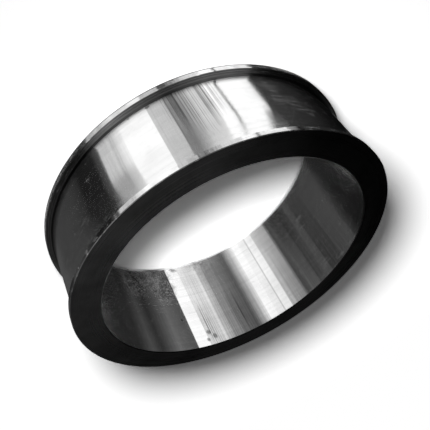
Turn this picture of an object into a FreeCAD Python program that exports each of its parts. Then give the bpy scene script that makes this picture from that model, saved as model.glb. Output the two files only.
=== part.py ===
"""Seamless rolled ring forging, turned all over, one piece of steel.

The ring stands on its foot face, axis vertical (+Z), origin at the centre of that face.
Its wall is one continuous section turned about the axis.  From the foot upwards it has a
long bevel, a collar with a narrow land, a filleted shoulder, a straight waist, a wide flare
and the flange with its rim land and flat top face.  The bore is plain.

Lengths are in millimetres, angles in degrees.  Wall sizes are measured outwards from the bore or the waist,
heights are stacked from the foot face, so each size can be changed by itself.
"""
import FreeCAD, Part
import math
import os

# Driving dimensions
BORE_DIAMETER = 500.0        # plain through bore
WAIST_WALL = 43.0            # wall between the bore and the waist
FOOT_WALL = 14.0             # width of the flat end face that the ring stands on
COLLAR_RISE = 11.0           # collar land above the waist
FLANGE_RISE = 7.0            # flange rim land above the waist
RIM_LIP = 1.0                # rim land proud of the flare that runs up to it

BEVEL_HEIGHT = 50.0          # foot face to the lower edge of the collar land
COLLAR_LAND = 10.0           # height of the collar land
WAIST_HEIGHT = 102.0         # shoulder face to the start of the flare
FLARE_HEIGHT = 49.0          # concave flare from the waist to the rim land
RIM_LAND = 9.0               # height of the rim land under the top face

SHOULDER_SLOPE = 25.0        # degrees that the shoulder face rises inwards from square
SHOULDER_FILLET = 4.0        # root fillet between the shoulder face and the waist
EDGE_BREAK = 1.0             # chamfer on the outer edges
BORE_CHAMFER = 1.5           # chamfer at both mouths of the bore

# Radii that follow
bore_radius = BORE_DIAMETER / 2
waist_radius = bore_radius + WAIST_WALL
foot_radius = bore_radius + FOOT_WALL
collar_radius = waist_radius + COLLAR_RISE
flange_radius = waist_radius + FLANGE_RISE
flare_end_radius = flange_radius - RIM_LIP

# Heights above the foot face that follow
collar_bottom = BEVEL_HEIGHT
shoulder_height = collar_bottom + COLLAR_LAND
flare_start = shoulder_height + WAIST_HEIGHT
rim_bottom = flare_start + FLARE_HEIGHT
ring_height = rim_bottom + RIM_LAND


class Section:
    """Half section of the wall, drawn point by point in the radius-height plane."""

    def __init__(self, radius, height):
        self.edges = []
        self.start = FreeCAD.Vector(radius, 0, height)
        self.here = self.start

    def line_to(self, radius, height):
        """Straight edge to the given radius and height."""
        end = FreeCAD.Vector(radius, 0, height)
        self.edges.append(Part.LineSegment(self.here, end).toShape())
        self.here = end

    def arc_to(self, centre_radius, centre_height, radius, height):
        """Short arc about the given centre to the given radius and height."""
        centre = FreeCAD.Vector(centre_radius, 0, centre_height)
        end = FreeCAD.Vector(radius, 0, height)
        bisector = (self.here - centre) + (end - centre)
        middle = centre + bisector.normalize() * (self.here - centre).Length
        self.edges.append(Part.Arc(self.here, middle, end).toShape())
        self.here = end

    def turned(self):
        """Close the section on its start and turn it once about the axis."""
        self.edges.append(Part.LineSegment(self.here, self.start).toShape())
        face = Part.Face(Part.Wire(self.edges))
        return face.revolve(FreeCAD.Vector(0, 0, 0), FreeCAD.Vector(0, 0, 1), 360)


def foot_and_bevel(section):
    """Foot face, its broken edge, and the bevel that runs out to the collar."""
    section.line_to(foot_radius - EDGE_BREAK, 0)
    bevel_slope = (collar_radius - foot_radius) / BEVEL_HEIGHT
    section.line_to(foot_radius + EDGE_BREAK * bevel_slope, EDGE_BREAK)
    section.line_to(collar_radius - EDGE_BREAK, collar_bottom - EDGE_BREAK / bevel_slope)


def collar(section):
    """Collar land with both edges broken."""
    section.line_to(collar_radius, collar_bottom + EDGE_BREAK)
    section.line_to(collar_radius, shoulder_height - EDGE_BREAK)
    section.line_to(collar_radius - EDGE_BREAK, shoulder_height)


def shoulder(section):
    """Sloped shoulder face, then its root fillet, tangent to the face and to the waist."""
    slope = math.radians(SHOULDER_SLOPE)
    root_height = shoulder_height + (COLLAR_RISE - EDGE_BREAK) * math.tan(slope)
    tangent = SHOULDER_FILLET * math.tan((math.pi / 2 - slope) / 2)
    fillet_top = root_height + tangent
    section.line_to(waist_radius + tangent * math.cos(slope), root_height - tangent * math.sin(slope))
    section.arc_to(waist_radius + SHOULDER_FILLET, fillet_top, waist_radius, fillet_top)


def waist_and_flare(section):
    """Straight waist, then a long concave flare that starts tangent to it."""
    section.line_to(waist_radius, flare_start)
    rise = flare_end_radius - waist_radius
    flare_radius = (FLARE_HEIGHT ** 2 + rise ** 2) / (2 * rise)
    section.arc_to(waist_radius + flare_radius, flare_start, flare_end_radius, rim_bottom)


def flange(section):
    """Rim land, its broken edge and the flat top face."""
    section.line_to(flange_radius, rim_bottom)
    section.line_to(flange_radius, ring_height - EDGE_BREAK)
    section.line_to(flange_radius - EDGE_BREAK, ring_height)
    section.line_to(bore_radius + BORE_CHAMFER, ring_height)


def bore(section):
    """Plain bore between its two chamfered mouths."""
    section.line_to(bore_radius, ring_height - BORE_CHAMFER)
    section.line_to(bore_radius, BORE_CHAMFER)


def rolled_ring():
    """The whole ring: one closed section turned about the axis."""
    section = Section(bore_radius + BORE_CHAMFER, 0)
    foot_and_bevel(section)
    collar(section)
    shoulder(section)
    waist_and_flare(section)
    flange(section)
    bore(section)
    return section.turned()


def main():
    """Build the ring and write its STEP file."""
    os.makedirs("parts", exist_ok=True)
    ring = rolled_ring()
    ring.exportStep("parts/rolled_ring.step")
    steel_density = 7.85e-6
    print("valid", ring.isValid(), "solids", len(ring.Solids))
    print("height", ring_height, "collar diameter", 2 * collar_radius)
    print("mass kg", round(ring.Volume * steel_density, 1))
    wall_angle = math.degrees(math.atan2(collar_radius - foot_radius, BEVEL_HEIGHT))
    print("bevel angle from the axis", round(wall_angle, 1))


main()
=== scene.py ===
"""Seamless rolled ring forging: looks, stage and camera, laid out as a Blender add-on.

One steel ring, turned all over, stands on its foot face with its axis upright.  Angles round
the ring are in degrees from its front (-Y), positive towards +X.  Lengths are in metres.
"""

import math

import bpy
from bpy.props import FloatProperty, FloatVectorProperty, IntProperty, PointerProperty
from mathutils import Matrix, Vector


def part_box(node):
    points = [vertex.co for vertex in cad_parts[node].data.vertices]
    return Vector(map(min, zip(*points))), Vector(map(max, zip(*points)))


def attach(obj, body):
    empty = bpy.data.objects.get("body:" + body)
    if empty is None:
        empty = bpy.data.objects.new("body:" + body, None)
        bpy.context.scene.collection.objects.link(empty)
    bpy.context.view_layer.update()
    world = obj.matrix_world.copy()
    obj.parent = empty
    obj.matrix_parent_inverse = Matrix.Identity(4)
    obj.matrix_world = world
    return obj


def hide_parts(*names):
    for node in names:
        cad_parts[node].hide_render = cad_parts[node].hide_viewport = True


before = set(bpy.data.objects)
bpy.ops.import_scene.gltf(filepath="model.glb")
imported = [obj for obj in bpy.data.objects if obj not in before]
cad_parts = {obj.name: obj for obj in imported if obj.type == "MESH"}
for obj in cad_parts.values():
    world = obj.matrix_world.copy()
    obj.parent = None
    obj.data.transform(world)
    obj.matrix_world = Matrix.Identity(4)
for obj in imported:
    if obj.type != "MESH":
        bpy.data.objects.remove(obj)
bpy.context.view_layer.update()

bl_info = {
    "name": "Seamless rolled ring forging",
    "version": (1, 0, 0),
    "blender": (4, 5, 0),
    "location": "3D View > Sidebar > Forging",
    "description": "Builds a turned rolled ring forging with its finishes and a plain studio",
    "category": "Object",
}

RING_NODE = "rolled_ring"
ring_low, ring_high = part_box(RING_NODE)
# The smallest half width of the node's box keeps the ring inside it
COLLAR_RADIUS = min(-ring_low[0], ring_high[0], -ring_low[1], ring_high[1])
RING_HEIGHT = ring_high[2] - ring_low[2]

# Seed of the handling nicks
NICK_SEED = 4.0

# Edges turned by more than this are sharp, and points nearer than this are one
SHARP_TURN = math.radians(14.0)
MERGE_DISTANCE = 0.00001

# Stretch of the outer cards' height that the flare mirrors: height, and how far the cards' light
# has gone over to the flare's share
FLARE_SEEN = ((0.118, 0), (0.134, 1), (0.160, 1), (0.172, 0))

# Camera axes: it looks down on the ring and is rolled, so that the near wall is at the upper left
CAMERA_RIGHT = (-0.868, 0.293, 0.4005)
CAMERA_UP = (-0.496, -0.525, -0.6915)
CAMERA_BACK = (0.008, -0.799, 0.601)

# Zones of the section, each with a finish of its own; the root zone's finish is near-black painted shade
FOOT, BEVEL, COLLAR, SHOULDER, ROOT, WAIST, RIM, FACE, BORE_UPPER, BORE_LOWER = range(10)


# ---------------------------------------------------------------- settings


class RingSizes(bpy.types.PropertyGroup):
    """Sizes of the ring's section and of the fine marks cut into it."""

    bore_radius: FloatProperty(
        name="Bore radius", description="Radius of the plain bore", default=0.250, unit="LENGTH")
    foot_radius: FloatProperty(
        name="Foot radius", description="Outer radius of the foot face", default=0.264, unit="LENGTH")
    waist_radius: FloatProperty(
        name="Waist radius", description="Radius of the straight waist",
        default=COLLAR_RADIUS - 0.011, unit="LENGTH")
    flange_radius: FloatProperty(
        name="Flange radius", description="Radius of the rim land under the top face",
        default=COLLAR_RADIUS - 0.004, unit="LENGTH")
    bevel_height: FloatProperty(
        name="Bevel height", description="Foot face to the collar land", default=0.050, unit="LENGTH")
    collar_land: FloatProperty(
        name="Collar land", description="Height of the collar's land", default=0.010, unit="LENGTH")
    waist_height: FloatProperty(
        name="Waist height", description="Collar to the start of the flare",
        default=0.102, unit="LENGTH")
    rim_land: FloatProperty(
        name="Rim land", description="Height of the land under the top face",
        default=0.009, unit="LENGTH")
    rim_lip: FloatProperty(
        name="Rim lip", description="Land proud of the flare", default=0.001, unit="LENGTH")
    shoulder_slope: FloatProperty(
        name="Shoulder slope", description="Rise of the shoulder face from square",
        default=math.radians(25.0), subtype="ANGLE")
    shoulder_fillet: FloatProperty(
        name="Shoulder fillet", description="Root radius between shoulder and waist",
        default=0.004, unit="LENGTH")
    score_width: FloatProperty(
        name="Score width", description="Half width of the fine turned lines on the shoulder",
        default=0.0008, unit="LENGTH")
    score_depth: FloatProperty(
        name="Score depth", description="Depth of the fine turned lines on the shoulder",
        default=0.0007, unit="LENGTH")
    edge_break: FloatProperty(
        name="Edge break", description="Chamfer on the outer edges", default=0.001, unit="LENGTH")
    bore_chamfer: FloatProperty(
        name="Bore chamfer", description="Chamfer at both mouths of the bore",
        default=0.0015, unit="LENGTH")
    bore_seam: FloatProperty(
        name="Bore seam", description="Depth below the top face where two boring passes meet",
        default=0.1175, unit="LENGTH")
    segments: IntProperty(
        name="Segments", description="Faces round the ring", default=720, min=48, max=1440)
    nick_depth: FloatProperty(
        name="Nick depth", description="Deepest handling nick on the outer edges",
        default=0.0009, unit="LENGTH")


class RingFinish(bpy.types.PropertyGroup):
    """Colours of the turned steel, one for each way it was finished; the top face and the shoulder are
    also darkened as painted shade, and the root zone is near-black painted shade.
    """

    wall_colour: FloatVectorProperty(
        name="Wall", description="Finish-turned outer walls", subtype="COLOR", size=3,
        default=(0.78, 0.78, 0.78))
    bore_colour: FloatVectorProperty(
        name="Bore", description="Bored inner wall", subtype="COLOR", size=3,
        default=(0.76, 0.76, 0.76))
    # Painted shade: the faced end is given a darker colour than the walls, standing for the dark
    # reflection that it shows
    face_colour_and_shade: FloatVectorProperty(
        name="Top face", description="Dull dark faced end", subtype="COLOR", size=3,
        default=(0.27, 0.27, 0.27))
    # Partly painted shade: the rough-turned shoulder is given a darker colour than the walls, standing
    # for its dim reflection
    shoulder_colour_and_shade: FloatVectorProperty(
        name="Shoulder", description="Rough-turned shoulder face", subtype="COLOR", size=3,
        default=(0.40, 0.40, 0.40))
    # Painted shade: near black in the root fillet, in a strip under the collar land and on both mouth
    # chamfers of the bore, where shade falls
    root_shade_colour: FloatVectorProperty(
        name="Root", description="Dark line left in the root fillet and under the collar land",
        subtype="COLOR", size=3, default=(0.06, 0.06, 0.06))
    foot_colour: FloatVectorProperty(
        name="Foot and bevel", description="Rough-turned bevel and foot face", subtype="COLOR", size=3,
        default=(0.40, 0.40, 0.40))


class StudioSettings(bpy.types.PropertyGroup):
    """Camera, floor and light."""

    eye: FloatVectorProperty(
        name="Camera place", description="Where the camera stands", subtype="TRANSLATION", size=3,
        default=(0.0, -0.806, 0.694))
    lens: FloatProperty(name="Lens", description="Focal length in millimetres", default=44.01)
    floor_colour: FloatVectorProperty(
        name="Floor", description="Plain pale floor", subtype="COLOR", size=3, default=(0.8, 0.8, 0.8))
    floor_lift: FloatProperty(
        name="Floor lift", description="How much whiter the floor is to the camera than to the ring",
        default=1.5)
    # Painted bounce light: the floor's colour inside the ring is made lighter towards its far wall
    painted_bounce: FloatProperty(
        name="Bounce", description="Extra lift of the floor in the ring, before its far wall",
        default=0.4)
    fade_centre: FloatProperty(
        name="Fade centre", description="Middle of the floor's grey part, behind the ring's axis",
        default=0.4, unit="LENGTH")
    fade_start: FloatProperty(
        name="Fade start", description="Distance from there at which the floor starts to whiten",
        default=0.80, unit="LENGTH")
    fade_end: FloatProperty(
        name="Fade end", description="Distance from there at which the floor is all white",
        default=1.25, unit="LENGTH")
    world_level: FloatProperty(name="World", description="Even light from all round", default=0.03)
    key_level: FloatProperty(name="Key lamp", description="Soft lamp beside the camera", default=0.9)
    lamp_place: FloatVectorProperty(
        name="Lamp place", description="Where the lamp stands", subtype="TRANSLATION", size=3,
        default=(0.041, -0.903, 0.572))
    lamp_aim: FloatVectorProperty(
        name="Lamp aim", description="Where the lamp points", subtype="TRANSLATION", size=3,
        default=(0.0, 0.3, 0.0))
    lamp_size: FloatProperty(
        name="Lamp size", description="Diameter of the lamp", default=0.23, unit="LENGTH")
    card_radius: FloatProperty(
        name="Outer cards", description="Radius of the ring of cards round the walls",
        default=0.322, unit="LENGTH")
    bore_card_radius: FloatProperty(
        name="Inner cards", description="Radius of the ring of cards in the bore",
        default=0.244, unit="LENGTH")
    card_gain: FloatProperty(
        name="Card gain", description="Light of a card whose shade is white", default=1.25)
    tent_reach: FloatProperty(
        name="Tent reach", description="Radius of the dim tent", default=3.0, unit="LENGTH")


# ---------------------------------------------------------------- node helpers


def add_node(tree, kind, **settings):
    """New node of a kind; settings are its own fields, or input values by socket name."""
    made = tree.nodes.new(kind)
    for name, value in settings.items():
        if hasattr(made, name):
            setattr(made, name, value)
        else:
            made.inputs[name.replace("_", " ")].default_value = value
    return made


def wire(tree, source, target):
    """Link an output to an input, or set the input where the source is a plain value."""
    if isinstance(source, bpy.types.NodeSocket):
        tree.links.new(source, target)
    else:
        target.default_value = source


def maths(tree, operation, *values, kind="ShaderNodeMath"):
    """Math node's result from sockets or numbers."""
    made = tree.nodes.new(kind)
    made.operation = operation
    for slot, value in zip(made.inputs, values):
        wire(tree, value, slot)
    return made.outputs[0]


def ramp_between(tree, value, low, high, to_low=0.0, to_high=1.0):
    """Value taken from low..high to to_low..to_high, smooth at both ends and clamped."""
    made = tree.nodes.new("ShaderNodeMapRange")
    made.interpolation_type = "SMOOTHSTEP"
    for slot, given in zip(made.inputs, (value, low, high, to_low, to_high)):
        wire(tree, given, slot)
    return made.outputs[0]


# ---------------------------------------------------------------- the ring


def arc_points(centre, start, end, steps):
    """Points after start up to end on the short arc about centre, in the section plane."""
    first = math.atan2(start[1] - centre[1], start[0] - centre[0])
    sweep = math.atan2(end[1] - centre[1], end[0] - centre[0]) - first
    sweep = (sweep + math.pi) % (2 * math.pi) - math.pi
    radius = math.dist(centre, start)
    return [
        (centre[0] + radius * math.cos(first + sweep * step / steps),
         centre[1] + radius * math.sin(first + sweep * step / steps))
        for step in range(1, steps + 1)
    ]


def run_points(start, end, steps):
    """Points after start up to end on a straight run."""
    return [
        (start[0] + (end[0] - start[0]) * step / steps, start[1] + (end[1] - start[1]) * step / steps)
        for step in range(1, steps + 1)
    ]


class Section:
    """Closed half section: points, the zone of the face after each, and which are outer edges."""

    def __init__(self, start):
        self.points = [start]
        self.zones = []
        self.edges = []

    def go(self, zone, points, edge=0.0):
        """Continue through the points with faces of one zone; edge marks them as an outer edge."""
        self.points += points
        self.zones += [zone] * len(points)
        self.edges += [edge] * len(points)

    def scored_line(self, zone, radius, height, parts, width, depth):
        """Straight run with fine vee lines cut into it at the given parts of its length."""
        (first_r, first_z), length = self.points[-1], math.dist(self.points[-1], (radius, height))
        along = ((radius - first_r) / length, (height - first_z) / length)
        for part in parts:
            for step, sunk in ((-width, 0.0), (0.0, depth), (width, 0.0)):
                reach = part * length + step
                self.line(zone, first_r + along[0] * reach - along[1] * sunk,
                          first_z + along[1] * reach + along[0] * sunk)
        self.line(zone, radius, height)

    def line(self, zone, radius, height, steps=1, edge=0.0):
        """Straight run to the given radius and height."""
        self.go(zone, run_points(self.points[-1], (radius, height), steps), edge)


def ring_section(sizes):
    """Half section of the wall, anticlockwise from the bore's foot chamfer."""
    bore, waist, flange = sizes.bore_radius, sizes.waist_radius, sizes.flange_radius
    collar = COLLAR_RADIUS
    edge = sizes.edge_break
    shoulder = sizes.bevel_height + sizes.collar_land
    flare_start = shoulder + sizes.waist_height
    rim_bottom = RING_HEIGHT - sizes.rim_land
    flare_end = flange - sizes.rim_lip

    section = Section((bore + sizes.bore_chamfer, 0.0))
    section.line(FOOT, sizes.foot_radius - edge, 0.0, 4)
    bevel_slope = sizes.bevel_height / (collar - sizes.foot_radius)
    section.line(FOOT, sizes.foot_radius + edge / bevel_slope, edge, 1, 0.6)
    section.line(BEVEL, collar - edge, sizes.bevel_height - edge * bevel_slope, 8)
    section.line(BEVEL, collar, sizes.bevel_height + edge, 2, 1.0)
    # Painted shade: the strip under the collar land takes the near-black root colour
    section.line(ROOT, collar, sizes.bevel_height + 2 * edge, 1)
    section.line(COLLAR, collar, shoulder - edge, 4)
    section.line(COLLAR, collar - edge, shoulder, 2, 1.0)

    slope, fillet = sizes.shoulder_slope, sizes.shoulder_fillet
    centre_r = waist + fillet
    edge_r = collar - edge
    centre_z = shoulder + (edge_r - centre_r) * math.tan(slope) + fillet / math.cos(slope)
    foot_of_fillet = (centre_r - fillet * math.sin(slope), centre_z - fillet * math.cos(slope))
    scores = (0.30, 0.62)
    section.scored_line(SHOULDER, *foot_of_fillet, scores, sizes.score_width, sizes.score_depth)
    # Painted shade: the root fillet takes the near-black root colour
    section.go(ROOT, arc_points((centre_r, centre_z), foot_of_fillet, (waist, centre_z), 8))
    section.line(WAIST, waist, flare_start, 10)
    rise, reach = rim_bottom - flare_start, flare_end - waist
    flare_radius = (rise ** 2 + reach ** 2) / (2 * reach)
    section.go(WAIST, arc_points(
        (waist + flare_radius, flare_start), (waist, flare_start), (flare_end, rim_bottom), 16))
    section.line(WAIST, flange, rim_bottom, 1)
    section.line(RIM, flange, RING_HEIGHT - edge, 3)
    section.line(RIM, flange - edge, RING_HEIGHT, 2, 1.0)
    section.line(FACE, bore + sizes.bore_chamfer, RING_HEIGHT, 6)
    # Painted shade: the bore's top mouth chamfer takes the near-black root colour
    section.line(ROOT, bore, RING_HEIGHT - sizes.bore_chamfer, 1)
    seam = RING_HEIGHT - sizes.bore_seam
    seam_width, seam_depth = 0.0006, 0.00025
    section.line(BORE_UPPER, bore, seam + seam_width, 8)
    section.line(BORE_UPPER, bore + seam_depth, seam, 1)
    section.line(BORE_LOWER, bore, seam - seam_width, 1)
    section.line(BORE_LOWER, bore, sizes.bore_chamfer, 8)
    # Painted shade: the closing run, the bore's foot chamfer, takes the near-black root colour
    section.zones.append(ROOT)
    section.edges.append(0.0)
    return section


def section_mesh(section):
    """Section outline as a mesh of points that carry their zone and edge mark."""
    mesh = bpy.data.meshes.new("ring_section")
    mesh.from_pydata([(radius, 0.0, height) for radius, height in section.points], [], [])
    # A zone belongs to the run after its point, an edge mark to the point that its run arrives at
    marks = (("zone", "INT", section.zones), ("edge", "FLOAT", section.edges[-1:] + section.edges[:-1]))
    for name, kind, values in marks:
        mesh.attributes.new(name, kind, "POINT").data.foreach_set("value", values)
    return mesh


def tree_input(tree, name, kind, default):
    """Named input of a geometry tree."""
    made = tree.interface.new_socket(name=name, in_out="INPUT", socket_type=kind)
    made.default_value = default
    return made


def turned_ring_tree(point_count, finishes):
    """Geometry Nodes tree that turns a section's points about Z into a closed ring."""
    tree = bpy.data.node_groups.new("turned_ring", "GeometryNodeTree")
    tree.interface.new_socket(name="Section", in_out="INPUT", socket_type="NodeSocketGeometry")
    tree_input(tree, "Segments", "NodeSocketInt", 720)
    tree_input(tree, "Nick depth", "NodeSocketFloat", 0.0009)
    tree_input(tree, "Nick seed", "NodeSocketFloat", NICK_SEED)
    tree.interface.new_socket(name="Ring", in_out="OUTPUT", socket_type="NodeSocketGeometry")
    given = tree.nodes.new("NodeGroupInput")
    section, segments, nick_depth, nick_seed = given.outputs[:4]

    def integer(operation, *values):
        return maths(tree, operation, *values, kind="FunctionNodeIntegerMath")

    def sampled(kind, field, index):
        """Value of a field on the section's point with that index."""
        made = add_node(tree, "GeometryNodeSampleIndex", data_type=kind, domain="POINT")
        wire(tree, section, made.inputs["Geometry"])
        wire(tree, field, made.inputs["Value"])
        wire(tree, index, made.inputs["Index"])
        return made.outputs["Value"]

    def named(kind, name):
        made = add_node(tree, "GeometryNodeInputNamedAttribute", data_type=kind)
        made.inputs["Name"].default_value = name
        return made.outputs["Attribute"]

    rows = point_count + 1
    grid = add_node(tree, "GeometryNodeMeshGrid", Vertices_Y=rows)
    wire(tree, integer("ADD", segments, 1), grid.inputs["Vertices X"])
    index = tree.nodes.new("GeometryNodeInputIndex").outputs[0]

    # Unrolled map, one unit round the ring and one along the section
    unrolled = add_node(tree, "GeometryNodeStoreNamedAttribute", data_type="FLOAT2", domain="CORNER")
    unrolled.inputs["Name"].default_value = "UVMap"
    wire(tree, grid.outputs["Mesh"], unrolled.inputs["Geometry"])
    wire(tree, grid.outputs["UV Map"], unrolled.inputs["Value"])

    # Each face takes the zone of the section run that it was turned from
    zoned = add_node(tree, "GeometryNodeStoreNamedAttribute", data_type="INT", domain="FACE")
    zoned.inputs["Name"].default_value = "zone"
    wire(tree, unrolled.outputs[0], zoned.inputs["Geometry"])
    wire(tree, sampled("INT", named("INT", "zone"), integer("MODULO", index, point_count)),
         zoned.inputs["Value"])

    # Grid column gives the angle, grid row the section point
    column = integer("DIVIDE_FLOOR", index, rows)
    row = integer("MODULO", integer("MODULO", index, rows), point_count)
    angle = maths(tree, "MULTIPLY", maths(tree, "DIVIDE", column, segments), 2 * math.pi)
    position = tree.nodes.new("GeometryNodeInputPosition").outputs[0]
    place = tree.nodes.new("ShaderNodeSeparateXYZ")
    wire(tree, sampled("FLOAT_VECTOR", position, row), place.inputs[0])
    edge = sampled("FLOAT", named("FLOAT", "edge"), row)
    sine, cosine = maths(tree, "SINE", angle), maths(tree, "COSINE", angle)

    # Handling nicks: short places where an outer edge is pushed in
    spot = tree.nodes.new("ShaderNodeCombineXYZ")
    wire(tree, sine, spot.inputs[0])
    wire(tree, cosine, spot.inputs[1])
    wire(tree, maths(tree, "ADD", place.outputs[2], nick_seed), spot.inputs[2])
    rough = add_node(tree, "ShaderNodeTexNoise", Scale=26.0, Detail=3.0)
    wire(tree, spot.outputs[0], rough.inputs["Vector"])
    nick = ramp_between(tree, rough.outputs[0], 0.60, 0.74)
    push = maths(tree, "MULTIPLY", maths(tree, "MULTIPLY", nick, edge), nick_depth)
    radius = maths(tree, "SUBTRACT", place.outputs[0], push)

    turned = tree.nodes.new("ShaderNodeCombineXYZ")
    wire(tree, maths(tree, "MULTIPLY", radius, sine), turned.inputs[0])
    wire(tree, maths(tree, "MULTIPLY", maths(tree, "MULTIPLY", radius, cosine), -1.0), turned.inputs[1])
    wire(tree, place.outputs[2], turned.inputs[2])
    placed = tree.nodes.new("GeometryNodeSetPosition")
    wire(tree, zoned.outputs[0], placed.inputs["Geometry"])
    wire(tree, turned.outputs[0], placed.inputs["Position"])

    merged = add_node(tree, "GeometryNodeMergeByDistance", Distance=MERGE_DISTANCE)
    wire(tree, placed.outputs[0], merged.inputs["Geometry"])
    smooth = add_node(tree, "GeometryNodeSetShadeSmooth", domain="FACE")
    wire(tree, merged.outputs[0], smooth.inputs["Geometry"])
    corner = tree.nodes.new("GeometryNodeInputMeshEdgeAngle")
    sharp = add_node(tree, "GeometryNodeSetShadeSmooth", domain="EDGE", Shade_Smooth=False)
    wire(tree, smooth.outputs[0], sharp.inputs["Geometry"])
    wire(tree, maths(tree, "GREATER_THAN", corner.outputs["Unsigned Angle"], SHARP_TURN),
         sharp.inputs["Selection"])
    made = tree.nodes.new("GeometryNodeRealizeInstances").outputs[0]
    wire(tree, sharp.outputs[0], made.node.inputs["Geometry"])
    zone = named("INT", "zone")
    for number, finish in enumerate(finishes):
        painted = tree.nodes.new("GeometryNodeSetMaterial")
        wire(tree, made, painted.inputs["Geometry"])
        if number:
            chosen = add_node(tree, "FunctionNodeCompare", data_type="INT", operation="EQUAL")
            wire(tree, zone, chosen.inputs[2])
            wire(tree, number, chosen.inputs[3])
            wire(tree, chosen.outputs[0], painted.inputs["Selection"])
        painted.inputs["Material"].default_value = finish
        made = painted.outputs[0]
    result = tree.nodes.new("NodeGroupOutput")
    wire(tree, made, result.inputs[0])
    return tree


def set_tree_input(modifier, name, value):
    """Set a modifier's named input by the identifier of its socket."""
    for socket in modifier.node_group.interface.items_tree:
        if socket.name == name and socket.in_out == "INPUT":
            modifier[socket.identifier] = value
            return
    raise KeyError(name)


# ---------------------------------------------------------------- steel finishes


def tuned_noise(tree, vector, detail, roughness, low, high, scale=1.0):
    """Noise taken from low..high to 0..1."""
    noise = add_node(tree, "ShaderNodeTexNoise", Scale=scale, Detail=detail, Roughness=roughness)
    wire(tree, vector, noise.inputs["Vector"])
    return ramp_between(tree, noise.outputs[0], low, high)


def weave(tree, parts, around, feed, along):
    """Coordinates at one rate round the ring and another across its tool marks."""
    made = tree.nodes.new("ShaderNodeCombineXYZ")
    wire(tree, maths(tree, "MULTIPLY", parts[0], around), made.inputs[0])
    wire(tree, maths(tree, "MULTIPLY", parts[1], around), made.inputs[1])
    wire(tree, maths(tree, "MULTIPLY", feed, along), made.inputs[2])
    return made.outputs[0]


def patch(tree, place, radius, azimuth, height, width, tall, ragged=0.35, soft=0.4):
    """Mask of a spot on a wall, 1 in its middle and 0 outside; ragged and soft shape its edge."""
    turn = math.radians(azimuth)
    offset = add_node(tree, "ShaderNodeVectorMath", operation="SUBTRACT")
    wire(tree, place, offset.inputs[0])
    offset.inputs[1].default_value = (radius * math.sin(turn), -radius * math.cos(turn), height)
    scaled = add_node(tree, "ShaderNodeVectorMath", operation="DIVIDE")
    wire(tree, offset.outputs[0], scaled.inputs[0])
    scaled.inputs[1].default_value = (width, width, tall)
    far = add_node(tree, "ShaderNodeVectorMath", operation="LENGTH")
    wire(tree, scaled.outputs[0], far.inputs[0])
    edge = add_node(tree, "ShaderNodeTexNoise", Scale=1.6, Detail=4.0)
    wire(tree, scaled.outputs[0], edge.inputs["Vector"])
    shift = maths(tree, "MULTIPLY", maths(tree, "SUBTRACT", edge.outputs[0], 0.5), ragged * 3.0)
    return ramp_between(tree, maths(tree, "ADD", far.outputs["Value"], shift), 1.0, 1.0 - soft)


def patches(tree, place, spots):
    """Mask of several spots on a wall, the strongest at each place."""
    strongest = patch(tree, place, *spots[0])
    for spot in spots[1:]:
        strongest = maths(tree, "MAXIMUM", strongest, patch(tree, place, *spot))
    return strongest


def less(tree, value, mask, share):
    """Value lowered by a share of itself where the mask is full."""
    return maths(tree, "MULTIPLY", value,
                 maths(tree, "SUBTRACT", 1.0, maths(tree, "MULTIPLY", mask, share)))


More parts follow.
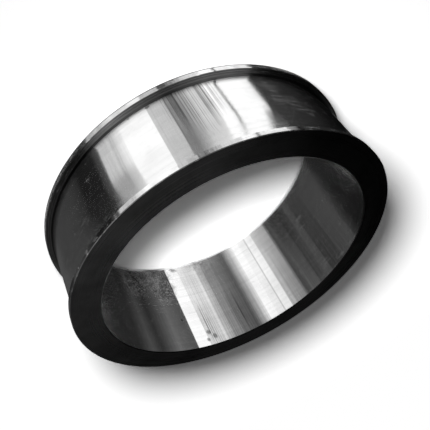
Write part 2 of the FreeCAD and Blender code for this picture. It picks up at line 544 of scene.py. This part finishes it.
def turned_steel(name, colour, roughness, bump_strength, face=False, spread=1.0, streaks=0.06,
                 mottle=0.1, dust=0.0, scuffing=0.6, stains_and_shade=(), wiped=(), scuffed=(), chatter=()):
    """Turned steel: tool marks along the turning, mottling, dust, and spots of other marks.

    A face has its tool marks in circles, a wall has them one above the other.  Spread is how far
    the gloss is drawn out across them, and scuffing how strong the scuffs are.  Stains, wiped
    streaks, scuffs and chatter are spots given by radius, azimuth, height, half width and half
    height, and where need be by how ragged and how soft their edge is.  Some of the stains are
    painted shade that darkens a surface where it shows a dark reflection.
    """
    material = bpy.data.materials.new(name)
    material.use_nodes = True
    tree = material.node_tree
    shader = tree.nodes["Principled BSDF"]
    shader.inputs["Anisotropic"].default_value = spread
    shader.inputs["Anisotropic Rotation"].default_value = 0.25
    tangent = add_node(tree, "ShaderNodeTangent", direction_type="RADIAL", axis="Z")
    wire(tree, tangent.outputs[0], shader.inputs["Tangent"])

    place = tree.nodes.new("ShaderNodeTexCoord").outputs["Object"]
    split = tree.nodes.new("ShaderNodeSeparateXYZ")
    wire(tree, place, split.inputs[0])
    parts = split.outputs
    across = maths(tree, "POWER", maths(tree, "ADD", maths(tree, "POWER", parts[0], 2.0),
                                        maths(tree, "POWER", parts[1], 2.0)), 0.5)
    feed = across if face else parts[2]

    # Grain and short bright ticks along the turning, slow clouds, and specks of dust
    grain = tuned_noise(tree, weave(tree, parts, 2.0, feed, 160.0), 5.0, 0.65, 0.3, 0.7)
    ticks = tuned_noise(tree, weave(tree, parts, 40.0, feed, 420.0), 3.0, 0.6, 0.56, 0.66)
    cloud = tuned_noise(tree, place, 5.0, 0.6, 0.40, 0.68, scale=13.0)
    specks = tuned_noise(tree, place, 2.0, 0.5, 0.66, 0.74, scale=260.0)
    tint = less(tree, less(tree, 1.0, grain, streaks), cloud, mottle)
    rough = maths(tree, "ADD", maths(tree, "MULTIPLY", grain, roughness * 0.3), roughness * 0.85)
    worn = maths(tree, "MULTIPLY", maths(tree, "MAXIMUM", maths(tree, "MULTIPLY", ticks, cloud),
                                         specks), dust)
    # Stains darken the tint; some are real stains and some are painted shade
    if stains_and_shade:
        stain_and_shade = patches(tree, place, stains_and_shade)
        tint = less(tree, tint, stain_and_shade, 0.6)
        rough = maths(tree, "ADD", rough, maths(tree, "MULTIPLY", stain_and_shade, 0.12))
    # Wiped streaks run across the turning, scuffs along it
    if wiped:
        wipe = patches(tree, place, wiped)
        lines = tuned_noise(tree, weave(tree, parts, 560.0, feed, 0.6), 2.0, 0.6, 0.54, 0.44)
        tint = less(tree, tint, maths(tree, "MULTIPLY", wipe, lines), 0.65)
    if scuffed:
        scuff = patches(tree, place, scuffed)
        rubs = tuned_noise(tree, weave(tree, parts, 14.0, feed, 460.0), 3.0, 0.6, 0.46, 0.64)
        ticks = maths(tree, "MAXIMUM", ticks, maths(tree, "MULTIPLY", rubs, 0.45))
        worn = maths(tree, "MAXIMUM", worn, maths(
            tree, "MULTIPLY", maths(tree, "MULTIPLY", scuff, ticks), scuffing))
    # Chatter is a field of bright dots on dark blots
    if chatter:
        rippled = patches(tree, place, chatter)
        dots = tuned_noise(tree, weave(tree, parts, 330.0, feed, 300.0), 2.0, 0.5, 0.42, 0.64)
        blots = tuned_noise(tree, place, 4.0, 0.7, 0.40, 0.66, scale=60.0)
        tint = less(tree, tint, maths(tree, "MULTIPLY", rippled, blots), 0.55)
        worn = maths(tree, "MAXIMUM", worn, maths(
            tree, "MULTIPLY", maths(tree, "MULTIPLY", rippled, dots), 0.8))

    shade = add_node(tree, "ShaderNodeVectorMath", operation="SCALE")
    shade.inputs[0].default_value = tuple(colour)
    wire(tree, tint, shade.inputs["Scale"])
    wire(tree, shade.outputs[0], shader.inputs["Base Color"])
    wire(tree, rough, shader.inputs["Roughness"])
    wire(tree, less(tree, 1.0, worn, 0.45), shader.inputs["Metallic"])
    bump = add_node(tree, "ShaderNodeBump", Strength=bump_strength, Distance=0.0002)
    wire(tree, grain, bump.inputs["Height"])
    wire(tree, bump.outputs[0], shader.inputs["Normal"])
    return material


def ring_finishes(look, sizes):
    """One finish for each zone, in the order of the zones."""
    bore, waist, flange = sizes.bore_radius, sizes.waist_radius, sizes.flange_radius

    wall_stains = (
        (waist, 0.5, 0.070, 0.005, 0.004), (waist, 7.0, 0.069, 0.003, 0.003),
        (waist, -21.3, 0.071, 0.003, 0.004))
    wall_streaks = ((waist, -11.5, 0.062, 0.054, 0.125, 0.15, 0.5),)
    wall_scuffs = (
        (waist, -44.0, 0.140, 0.036, 0.024), (waist, -37.5, 0.112, 0.026, 0.048, 0.35, 0.7),
        (waist, -45.5, 0.166, 0.010, 0.006), (waist, 27.0, 0.110, 0.006, 0.006))
    walls = turned_steel("turned_wall", look.wall_colour, 0.15, 0.06, streaks=0.05, dust=0.25,
                         stains_and_shade=wall_stains, wiped=wall_streaks, scuffed=wall_scuffs)

    collar = COLLAR_RADIUS
    # Stains on the collar land and the rim land; the wide ones at -56 on the collar land and at 52 and
    # -33 on the rim land are painted shade, darkening where the lands show dark reflections
    land_stains_and_shade = (
        (collar, -5.8, 0.055, 0.009, 0.006), (collar, -9.6, 0.052, 0.003, 0.003),
        (collar, -35.5, 0.053, 0.010, 0.006), (collar, -41.0, 0.054, 0.008, 0.006),
        (collar, -22.1, 0.055, 0.0012, 0.006), (collar, -56.0, 0.055, 0.045, 0.010),
        (flange, 28.0, 0.215, 0.006, 0.006), (flange, 24.0, 0.214, 0.004, 0.004),
        (flange, 52.0, 0.215, 0.040, 0.006), (flange, -33.0, 0.215, 0.018, 0.008))
    land_scuffs = (
        (collar, 36.0, 0.054, 0.012, 0.008), (collar, 48.0, 0.055, 0.008, 0.008),
        (collar, 57.0, 0.054, 0.009, 0.008), (collar, 28.0, 0.054, 0.005, 0.006),
        (flange, 31.0, 0.216, 0.006, 0.006), (flange, 36.0, 0.216, 0.004, 0.005),
        (flange, 22.0, 0.216, 0.003, 0.005))
    land = turned_steel("turned_land", look.wall_colour, 0.18, 0.10, mottle=0.35, dust=1.2,
                        scuffing=1.6, stains_and_shade=land_stains_and_shade, scuffed=land_scuffs)

    # Painted shade: the faced end's darker colour stands for its dark reflection
    face = turned_steel("faced_end", look.face_colour_and_shade, 0.29, 0.20, face=True, spread=0.5,
                        streaks=0.15, mottle=0.35)
    # Painted shade: a wide soft patch darkens the shoulder towards its -X side, where it shows a dark
    # reflection
    shoulder_painted_shade = ((waist, -60.0, 0.066, 0.370, 0.100, 0.05, 0.15),)
    # The shoulder's darker colour is partly painted shade for its dim reflection
    shoulder = turned_steel("turned_shoulder", look.shoulder_colour_and_shade, 0.42, 0.25, face=True,
                            spread=0.4, streaks=0.4, mottle=0.2, dust=1.0, stains_and_shade=shoulder_painted_shade)
    # Painted shade: near-black steel for the root fillet, the strip under the collar land and the bore's
    # mouth chamfers
    root = turned_steel("painted_shade_root", look.root_shade_colour, 0.40, 0.20, spread=0.6)

    upper_stains = (
        (bore, 149.6, 0.188, 0.007, 0.007, 0.15, 0.6), (bore, 151.9, 0.200, 0.007, 0.008, 0.15, 0.6),
        (bore, 148.0, 0.205, 0.005, 0.006, 0.15, 0.6), (bore, 139.0, 0.146, 0.003, 0.003))
    upper_streaks = (
        (bore, 151.0, 0.170, 0.016, 0.070, 0.2, 0.9), (bore, 168.0, 0.160, 0.022, 0.090, 0.2, 1.0))
    upper = turned_steel("bored_upper", look.bore_colour, 0.17, 0.06, streaks=0.08, dust=0.3,
                         stains_and_shade=upper_stains, wiped=upper_streaks)
    lower_stains = (
        (bore, 134.0, 0.003, 0.045, 0.008, 0.5, 0.7), (bore, 146.0, 0.010, 0.012, 0.008, 0.5, 0.7))
    lower_chatter = (
        (bore, 135.0, 0.045, 0.045, 0.058, 0.25), (bore, 120.0, 0.035, 0.045, 0.050, 0.25),
        (bore, 160.0, 0.010, 0.050, 0.036, 0.6, 1.0))
    lower = turned_steel("bored_lower", look.bore_colour, 0.16, 0.06, streaks=0.10, dust=0.3,
                         stains_and_shade=lower_stains, chatter=lower_chatter)

    foot = turned_steel("turned_bevel", look.foot_colour, 0.40, 0.20, streaks=0.2)
    table = {FOOT: foot, BEVEL: foot, COLLAR: land, SHOULDER: shoulder, ROOT: root, WAIST: walls,
             RIM: land, FACE: face, BORE_UPPER: upper, BORE_LOWER: lower}
    return [table[zone] for zone in range(len(table))]


class FORGING_OT_ring(bpy.types.Operator):
    """Turn the ring's section about its axis and give each zone its finish"""

    bl_idname = "forging.ring"
    bl_label = "Turned ring"

    def execute(self, context):
        sizes = context.scene.forging_sizes
        section = ring_section(sizes)
        blank = bpy.data.objects.new("ring_blank", section_mesh(section))
        context.scene.collection.objects.link(blank)
        finishes = ring_finishes(context.scene.forging_finish, sizes)
        tree = turned_ring_tree(len(section.zones), finishes)
        turning = blank.modifiers.new("turning", "NODES")
        turning.node_group = tree
        set_tree_input(turning, "Segments", sizes.segments)
        set_tree_input(turning, "Nick depth", sizes.nick_depth)
        set_tree_input(turning, "Nick seed", NICK_SEED)

        graph = context.evaluated_depsgraph_get()
        mesh = bpy.data.meshes.new_from_object(blank.evaluated_get(graph), depsgraph=graph)
        mesh.name = "rolled_ring_forging"
        if not mesh.polygons:
            raise RuntimeError("the ring has no faces")
        # The grid's own empty slot comes before the finishes
        while mesh.materials and mesh.materials[0] is None:
            mesh.materials.pop(index=0)
        bpy.data.objects.remove(blank)
        ring = bpy.data.objects.new("rolled_ring_forging", mesh)
        context.scene.collection.objects.link(ring)
        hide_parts(RING_NODE)
        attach(ring, "root")
        return {"FINISHED"}


# ---------------------------------------------------------------- stage


def linear(shade):
    """Linear light of a display shade, where 1 is white."""
    return shade / 12.92 if shade <= 0.04045 else ((shade + 0.055) / 1.055) ** 2.4


def mirrored_angle(angle, wall_radius, card_radius, eye):
    """Angle at which the sight line, mirrored by the wall at the given angle, meets the cards.

    Seen from above: n points out of the wall at p, d is the sight line and r its reflection.
    """
    nx, ny = math.sin(angle), -math.cos(angle)
    px, py = wall_radius * nx, wall_radius * ny
    dx, dy = px - eye[0], py - eye[1]
    along = dx * nx + dy * ny
    rx, ry = dx - 2 * along * nx, dy - 2 * along * ny
    size = math.hypot(rx, ry)
    rx, ry = rx / size, ry / size
    half = px * rx + py * ry
    depth = math.sqrt(half ** 2 - wall_radius ** 2 + card_radius ** 2)
    reach = -half + depth if card_radius > wall_radius else -half - depth
    reach = reach if reach > 0 else -half + depth
    return math.atan2(px + reach * rx, -(py + reach * ry))


# Cards round the outer walls and in the bore: from, to (degrees), shade at each end, strength
# of their slats, and the share of their light that the flare or the foot of the bore gets.
# Angles are where each card's reflection stands on the wall, from the front and from the back.
WALL_CARDS = (
    (-180, -156, 0.24, 0.20, 0.4, 1.0), (-156, -150, 0.20, 0.85, 0.3, 1.0),
    (-150, -132, 0.92, 0.96, 0.1, 1.0), (-132, -129, 0.85, 0.30, 0.4, 1.0),
    (-129, -104, 0.22, 0.12, 0.4, 1.0), (-104, -98, 0.12, 0.60, 0.4, 1.0),
    (-98, -84, 0.72, 0.55, 0.3, 1.0), (-84, -56, 0.06, 0.03, 0.0, 1.0),
    (-56, -42, 0.04, 0.17, 0.1, 1.6), (-42, -31.5, 0.17, 0.26, 0.2, 1.0),
    (-31.5, -29, 1.04, 1.04, 0.0, 0.15),
    (-29, -21.2, 1.04, 1.04, 0.0, 1.0), (-21.2, -20.5, 0.10, 0.10, 0.0, 4.0),
    (-20.5, -16.5, 1.04, 1.04, 0.0, 1.0),
    (-16.5, -11, 0.93, 0.88, 0.3, 0.8), (-11, -7.5, 0.82, 0.60, 0.5, 0.8),
    (-7.5, -4.5, 0.56, 0.56, 0.6, 0.8), (-4.5, 1, 0.80, 0.82, 0.15, 0.9),
    (1, 11, 1.04, 1.04, 0.0, 0.9), (11, 14, 1.0, 0.86, 0.2, 0.6), (14, 19.7, 0.84, 0.86, 0.45, 0.45),
    (19.7, 22.5, 0.34, 0.20, 0.2, 0.9), (22.5, 31, 0.13, 0.12, 0.4, 1.3),
    (31, 36, 0.17, 0.23, 0.2, 1.0), (36, 62, 0.25, 0.28, 0.5, 1.0), (62, 78, 0.29, 0.32, 0.3, 1.0),
    (78, 104, 0.32, 0.18, 0.4, 1.0), (104, 110, 0.18, 0.84, 0.3, 1.0), (110, 130, 0.94, 0.84, 0.2, 1.0),
    (130, 136, 0.76, 0.30, 0.4, 1.0), (136, 158, 0.22, 0.34, 0.4, 1.0), (158, 180, 0.34, 0.24, 0.4, 1.0),
)
BORE_CARDS = (
    (-90, -72, 0.12, 0.16, 0.1, 1.0), (-72, -64, 0.16, 0.31, 0.2, 0.4),
    (-64, -58, 0.31, 0.20, 0.2, 0.5), (-58, -48, 0.20, 0.44, 0.2, 0.5),
    (-48, -38.5, 0.44, 0.33, 0.2, 0.8),
    (-38.5, -32, 1.04, 1.04, 0.0, 1.0), (-32, -27, 0.94, 0.88, 0.4, 1.1),
    (-27, -22.5, 0.84, 0.90, 0.4, 1.2), (-22.5, -19, 0.79, 0.68, 0.4, 1.1),
    (-19, -14, 0.59, 0.53, 0.4, 1.0), (-14, -8, 0.48, 0.40, 0.5, 1.2),
    (-8, -5.5, 0.37, 0.36, 0.5, 1.2), (-5.5, -3.5, 0.40, 0.58, 0.4, 1.2),
    (-3.5, -1.5, 0.61, 0.72, 0.4, 1.2), (-1.5, 1, 0.77, 0.95, 0.2, 1.1),
    (1, 5, 1.04, 1.04, 0.0, 1.0), (5, 8.7, 1.0, 0.98, 0.0, 1.0),
    (8.7, 9.4, 0.84, 0.84, 0.0, 1.0), (9.4, 13.4, 1.02, 0.98, 0.1, 1.0),
    (13.4, 16, 0.78, 0.71, 0.4, 1.2), (16, 22, 0.64, 0.54, 0.4, 1.6),
    (22, 23.4, 0.50, 0.30, 0.2, 1.2), (23.4, 26, 0.28, 0.31, 0.2, 1.0),
    (26, 32, 0.37, 0.35, 0.5, 0.35), (32, 37, 0.26, 0.32, 0.4, 0.5), (37, 41, 0.33, 0.30, 0.4, 0.8),
    (41, 50, 0.24, 0.25, 0.5, 1.0), (50, 64, 0.29, 0.30, 0.5, 0.8),
    (64, 70, 0.20, 0.12, 0.1, 2.0), (70, 90, 0.10, 0.08, 0.1, 2.0), (90, 126, 0.20, 0.32, 0.4, 1.0),
    (126, 131, 0.32, 0.80, 0.3, 1.0), (131, 149, 0.88, 0.70, 0.3, 1.0), (149, 154, 0.60, 0.30, 0.4, 1.0),
    (154, 180, 0.30, 0.40, 0.4, 1.0), (180, 208, 0.40, 0.22, 0.4, 1.0), (208, 213, 0.22, 0.72, 0.3, 1.0),
    (213, 230, 0.78, 0.92, 0.2, 1.0), (230, 236, 0.80, 0.30, 0.4, 1.0), (236, 270, 0.28, 0.14, 0.3, 1.0),
)


def card_ring(name, cards, offset, wall_radius, radius, eye, seen, gain, dimmed, levels):
    """Upright ring of light and dark cards that shows only in reflections.

    Cards whose reflection stands within the seen angle of the front are placed by mirroring, the
    rest stand at their own angle.  Levels are heights with how far each card's light has gone
    over to its last share there.  Dimmed is the share of light kept from the floor.
    """
    degrees_per_step = 3
    glow_limit = gain * 1.15
    slats_lost = 0.75
    points, faces, glows, slats = [], [], [], []
    for first, last, shade_first, shade_last, slat, share in cards:
        steps = max(1, round((last - first) / degrees_per_step))
        for step in range(steps):
            ends = []
            for part in (step / steps, (step + 1) / steps):
                turn = math.radians(first + (last - first) * part)
                angle = turn + math.radians(offset)
                if abs((turn + math.pi) % (2 * math.pi) - math.pi) < math.radians(seen):
                    angle = mirrored_angle(angle, wall_radius, radius, eye)
                glow = linear(shade_first + (shade_last - shade_first) * part) * gain
                ends.append((radius * math.sin(angle), -radius * math.cos(angle), glow))
            for (low, low_part), (high, high_part) in zip(levels, levels[1:]):
                corner = len(points)
                for (x, y, glow), height, gone in (
                        (ends[0], low, low_part), (ends[1], low, low_part),
                        (ends[1], high, high_part), (ends[0], high, high_part)):
                    points.append((x, y, height))
                    glows.append(min(glow * (1 + (share - 1) * gone), glow_limit))
                    slats.append(slat * (1 - slats_lost * gone))
                faces.append(range(corner, corner + 4))
    mesh = bpy.data.meshes.new(name)
    mesh.from_pydata(points, [], faces)
    for attribute, values in (("glow", glows), ("slats", slats)):
        mesh.attributes.new(attribute, "FLOAT", "CORNER").data.foreach_set("value", values)
    card = bpy.data.objects.new(name, mesh)
    bpy.context.scene.collection.objects.link(card)
    mesh.materials.append(card_material(name, dimmed))
    only_in_reflections(card)
    return card


def first_sight(tree, strength, dimmed):
    """Strength in full where the camera sees it mirrored, and dimmed where it lights the floor."""
    path = tree.nodes.new("ShaderNodeLightPath")
    lights_floor = maths(tree, "GREATER_THAN", path.outputs["Diffuse Depth"], 0.5)
    return less(tree, strength, lights_floor, dimmed)


def card_material(name, dimmed):
    """Glow from the card's own attribute, broken by thin upright slats where it has them."""
    material = bpy.data.materials.new(name)
    material.use_nodes = True
    material.cycles.emission_sampling = "NONE"
    tree = material.node_tree
    tree.nodes.clear()
    glow = add_node(tree, "ShaderNodeAttribute", attribute_name="glow")
    slats = add_node(tree, "ShaderNodeAttribute", attribute_name="slats")
    split = tree.nodes.new("ShaderNodeSeparateXYZ")
    wire(tree, tree.nodes.new("ShaderNodeTexCoord").outputs["Object"], split.inputs[0])
    turn = maths(tree, "ARCTAN2", split.outputs[0], maths(tree, "MULTIPLY", split.outputs[1], -1.0))
    noise = add_node(tree, "ShaderNodeTexNoise", noise_dimensions="1D", Scale=120.0, Detail=2.0,
                     Roughness=0.7)
    wire(tree, turn, noise.inputs["W"])
    gap = ramp_between(tree, noise.outputs[0], 0.52, 0.40)
    dim = maths(tree, "SUBTRACT", 1.0, maths(tree, "MULTIPLY", gap, slats.outputs["Fac"]))
    light = tree.nodes.new("ShaderNodeEmission")
    wire(tree, first_sight(tree, maths(tree, "MULTIPLY", glow.outputs["Fac"], dim), dimmed),
         light.inputs["Strength"])
    out = tree.nodes.new("ShaderNodeOutputMaterial")
    wire(tree, light.outputs[0], out.inputs["Surface"])
    return material


def only_in_reflections(card):
    """Hide a card from everything but glossy rays."""
    card.visible_camera = False
    card.visible_diffuse = False
    card.visible_transmission = False
    card.visible_volume_scatter = False
    card.visible_shadow = False


def tent(name, reach):
    """Dim dome over the ring, lighter on the +X side and in front, seen only in reflections."""
    columns, rows = 48, 12
    foot_gap = 0.02
    points, faces = [], []
    for row in range(rows + 1):
        tilt = math.pi / 2 * row / rows
        for column in range(columns):
            turn = 2 * math.pi * column / columns
            points.append((
                reach * math.cos(tilt) * math.sin(turn), -reach * math.cos(tilt) * math.cos(turn),
                reach * math.sin(tilt) + foot_gap))
    for row in range(rows):
        for column in range(columns):
            after = (column + 1) % columns
            faces.append((row * columns + column, row * columns + after,
                          (row + 1) * columns + after, (row + 1) * columns + column))
    mesh = bpy.data.meshes.new(name)
    mesh.from_pydata(points, [], faces)
    dome = bpy.data.objects.new(name, mesh)
    bpy.context.scene.collection.objects.link(dome)
    material = bpy.data.materials.new(name)
    material.use_nodes = True
    material.cycles.emission_sampling = "NONE"
    tree = material.node_tree
    tree.nodes.clear()
    parts = tree.nodes.new("ShaderNodeSeparateXYZ")
    wire(tree, tree.nodes.new("ShaderNodeTexCoord").outputs["Object"], parts.inputs[0])
    # The +X side glows high up, its far flank all the way down, and the front a little too
    x, y, z = parts.outputs
    side = ramp_between(tree, x, -0.34 * reach, 0.05 * reach, 0.0, 0.095)
    high = ramp_between(tree, z, 0.50 * reach, 0.76 * reach, 0.05, 1.0)
    flank = ramp_between(tree, x, 0.30 * reach, 0.60 * reach, 0.0, 0.09)
    front = ramp_between(tree, y, 0.1 * reach, -0.6 * reach, 0.0, 0.08)
    glow = maths(tree, "ADD", maths(tree, "ADD", maths(tree, "MULTIPLY", side, high), flank), front)
    light = tree.nodes.new("ShaderNodeEmission")
    wire(tree, first_sight(tree, glow, 0.5), light.inputs["Strength"])
    out = tree.nodes.new("ShaderNodeOutputMaterial")
    wire(tree, light.outputs[0], out.inputs["Surface"])
    mesh.materials.append(material)
    only_in_reflections(dome)
    return dome


def seen_rays(tree):
    """1 for what the camera sees, straight or mirrored, and 0 for what only lights."""
    path = tree.nodes.new("ShaderNodeLightPath")
    seen = maths(tree, "ADD", path.outputs["Is Camera Ray"], path.outputs["Is Glossy Ray"])
    return maths(tree, "MINIMUM", maths(tree, "ADD", seen, path.outputs["Is Transmission Ray"]), 1.0)


def studio_floor(studio, bore_radius):
    """Wide pale floor that looks evenly lit and, to the camera and in reflections, white.

    Its lift grows with the distance from the lamp, as the light falls flatter there, and inside
    the ring a painted bounce light makes it lighter towards the far wall.  Well away from the ring
    the floor passes into the plain white backdrop.
    """
    half = 12.0
    painted_bounce_start, painted_bounce_full = 0.02, 0.09
    lamp_place = tuple(studio.lamp_place)
    mesh = bpy.data.meshes.new("studio_floor")
    mesh.from_pydata([(-half, -half, 0), (half, -half, 0), (half, half, 0), (-half, half, 0)], [],
                     [(0, 1, 2, 3)])
    floor = bpy.data.objects.new("studio_floor", mesh)
    bpy.context.scene.collection.objects.link(floor)
    material = bpy.data.materials.new("pale_floor")
    material.use_nodes = True
    tree = material.node_tree
    tree.nodes.clear()
    seen = seen_rays(tree)
    place = tree.nodes.new("ShaderNodeTexCoord").outputs["Object"]
    far = add_node(tree, "ShaderNodeVectorMath", operation="DISTANCE")
    wire(tree, place, far.inputs[0])
    far.inputs[1].default_value = lamp_place
    flat = maths(tree, "MULTIPLY", far.outputs["Value"], studio.floor_lift / lamp_place[2])
    parts = tree.nodes.new("ShaderNodeSeparateXYZ")
    wire(tree, place, parts.inputs[0])
    axis = add_node(tree, "ShaderNodeVectorMath", operation="LENGTH")
    wire(tree, place, axis.inputs[0])
    inside = maths(tree, "LESS_THAN", axis.outputs["Value"], bore_radius)
    # Painted bounce light inside the ring, growing towards the far wall
    painted_bounce_light = ramp_between(tree, parts.outputs[1], painted_bounce_start, painted_bounce_full, 0.0, studio.painted_bounce)
    flat = maths(tree, "MULTIPLY", flat, maths(
        tree, "ADD", maths(tree, "MULTIPLY", inside, painted_bounce_light), 1.0))
    lifted = maths(tree, "ADD", maths(tree, "MULTIPLY", seen, maths(tree, "SUBTRACT", flat, 1.0)), 1.0)
    shade = add_node(tree, "ShaderNodeVectorMath", operation="SCALE")
    shade.inputs[0].default_value = tuple(studio.floor_colour)
    wire(tree, lifted, shade.inputs["Scale"])
    paper = tree.nodes.new("ShaderNodeBsdfDiffuse")
    wire(tree, shade.outputs[0], paper.inputs["Color"])
    away = add_node(tree, "ShaderNodeVectorMath", operation="DISTANCE")
    wire(tree, place, away.inputs[0])
    away.inputs[1].default_value = (0.0, studio.fade_centre, 0.0)
    backdrop = tree.nodes.new("ShaderNodeEmission")
    blend = tree.nodes.new("ShaderNodeMixShader")
    white = ramp_between(tree, away.outputs["Value"], studio.fade_start, studio.fade_end)
    wire(tree, maths(tree, "MULTIPLY", seen, white), blend.inputs[0])
    wire(tree, paper.outputs[0], blend.inputs[1])
    wire(tree, backdrop.outputs[0], blend.inputs[2])
    out = tree.nodes.new("ShaderNodeOutputMaterial")
    wire(tree, blend.outputs[0], out.inputs["Surface"])
    mesh.materials.append(material)
    return floor


def even_world(level):
    """Even light of the given level that is plain white to the camera and in reflections."""
    world = bpy.data.worlds.new("even_light")
    world.use_nodes = True
    tree = world.node_tree
    white = maths(tree, "MULTIPLY", seen_rays(tree), 1.0 - level)
    wire(tree, maths(tree, "ADD", white, level), tree.nodes["Background"].inputs["Strength"])
    tree.nodes["Background"].inputs["Color"].default_value = (1.0, 1.0, 1.0, 1.0)
    return world


def soft_lamp(name, level, place, aim, size):
    """Round soft lamp that lights near and far alike; at level 1 a colour shows as it is."""
    lamp = bpy.data.lights.new(name, "AREA")
    lamp.shape = "DISK"
    lamp.size = size
    lamp.energy = level * math.pi ** 2
    lamp.use_nodes = True
    tree = lamp.node_tree
    falloff = add_node(tree, "ShaderNodeLightFalloff", Strength=1.0)
    wire(tree, falloff.outputs["Constant"], tree.nodes["Emission"].inputs["Strength"])
    thing = bpy.data.objects.new(name, lamp)
    thing.location = place
    thing.rotation_euler = (Vector(aim) - Vector(place)).to_track_quat("-Z", "Y").to_euler()
    thing.visible_camera = False
    thing.visible_glossy = False
    bpy.context.scene.collection.objects.link(thing)
    return thing


class FORGING_OT_stage(bpy.types.Operator):
    """Lay the pale floor and set up the camera, the lamp and the reflection cards"""

    bl_idname = "forging.stage"
    bl_label = "Studio stage"

    def execute(self, context):
        scene = context.scene
        studio, sizes = scene.forging_studio, scene.forging_sizes
        floor = studio_floor(studio, sizes.bore_radius)
        soft_lamp("soft_key", studio.key_level, studio.lamp_place, studio.lamp_aim, studio.lamp_size)
        scene.world = even_world(studio.world_level)
        eye = tuple(studio.eye)
        card_top = (RING_HEIGHT - 0.003, 0)
        outer = card_ring(
            "wall_cards", WALL_CARDS, offset=0.0, wall_radius=sizes.waist_radius,
            radius=studio.card_radius, eye=eye, seen=66.0, gain=studio.card_gain, dimmed=0.5,
            levels=((0.001, 0), *FLARE_SEEN, card_top))
        inner = card_ring(
            "bore_cards", BORE_CARDS, offset=180.0, wall_radius=sizes.bore_radius,
            radius=studio.bore_card_radius, eye=eye, seen=84.0, gain=studio.card_gain, dimmed=0.3,
            levels=((0.0005, 1), card_top))
        tent("dim_tent", studio.tent_reach)

        lens = bpy.data.cameras.new("studio_camera")
        lens.lens = studio.lens
        camera = bpy.data.objects.new("studio_camera", lens)
        turn = Matrix((CAMERA_RIGHT, CAMERA_UP, CAMERA_BACK)).transposed().to_quaternion().to_matrix()
        camera.matrix_world = Matrix.Translation(studio.eye) @ turn.to_4x4()
        scene.collection.objects.link(camera)
        scene.camera = camera
        scene.view_settings.view_transform = "Standard"
        return {"FINISHED"}


class FORGING_PT_panel(bpy.types.Panel):
    """Lists the forging's pieces and their settings"""

    bl_idname = "FORGING_PT_panel"
    bl_label = "Rolled ring forging"
    bl_space_type = "VIEW_3D"
    bl_region_type = "UI"
    bl_category = "Forging"

    def draw(self, context):
        layout, scene = self.layout, context.scene
        for operator, settings in (
                ("forging.ring", (scene.forging_sizes, scene.forging_finish)),
                ("forging.stage", (scene.forging_studio,))):
            box = layout.box()
            box.operator(operator)
            for group in settings:
                for name in group.__annotations__:
                    box.prop(group, name)


CLASSES = (RingSizes, RingFinish, StudioSettings, FORGING_OT_ring, FORGING_OT_stage, FORGING_PT_panel)


def register():
    """Add the classes and their settings to Blender."""
    for cls in CLASSES:
        bpy.utils.register_class(cls)
    bpy.types.Scene.forging_sizes = PointerProperty(type=RingSizes)
    bpy.types.Scene.forging_finish = PointerProperty(type=RingFinish)
    bpy.types.Scene.forging_studio = PointerProperty(type=StudioSettings)


def unregister():
    """Take the settings and the classes out again."""
    del bpy.types.Scene.forging_studio
    del bpy.types.Scene.forging_finish
    del bpy.types.Scene.forging_sizes
    for cls in reversed(CLASSES):
        bpy.utils.unregister_class(cls)


def main():
    """Build the ring and its stage."""
    register()
    bpy.ops.forging.ring()
    bpy.ops.forging.stage()
    bpy.context.view_layer.update()


if __name__ == "__main__":
    main()
